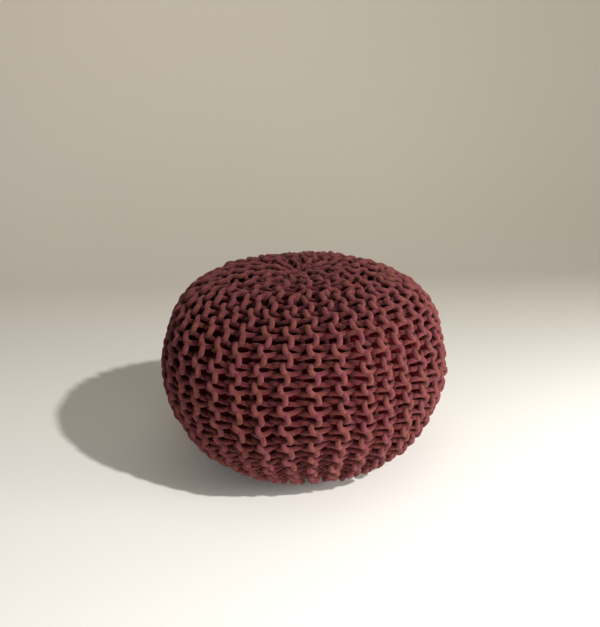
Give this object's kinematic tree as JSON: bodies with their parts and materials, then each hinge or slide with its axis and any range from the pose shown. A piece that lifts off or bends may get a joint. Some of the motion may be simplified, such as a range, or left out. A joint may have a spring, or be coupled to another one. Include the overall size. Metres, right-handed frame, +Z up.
{
  "type": "knitted pouf",
  "caption": "Round, squat floor pouf in chunky ribbed knitting: a tightly filled body with raised ribs from pole to pole and a flat underside.",
  "frame": {"origin": "middle of the flat underside, on the floor", "axes": "+Z up through the gathered pole; -Y is the side that faces the viewer; +X to the right"},
  "size_m": [0.5, 0.4994, 0.3467],
  "materials": {
    "yarn": "matte marsala-red cotton cord, soft and slightly fibrous"
  },
  "bodies": {
    "root": {"knitted_body": "yarn"}
  },
  "joints": []
}
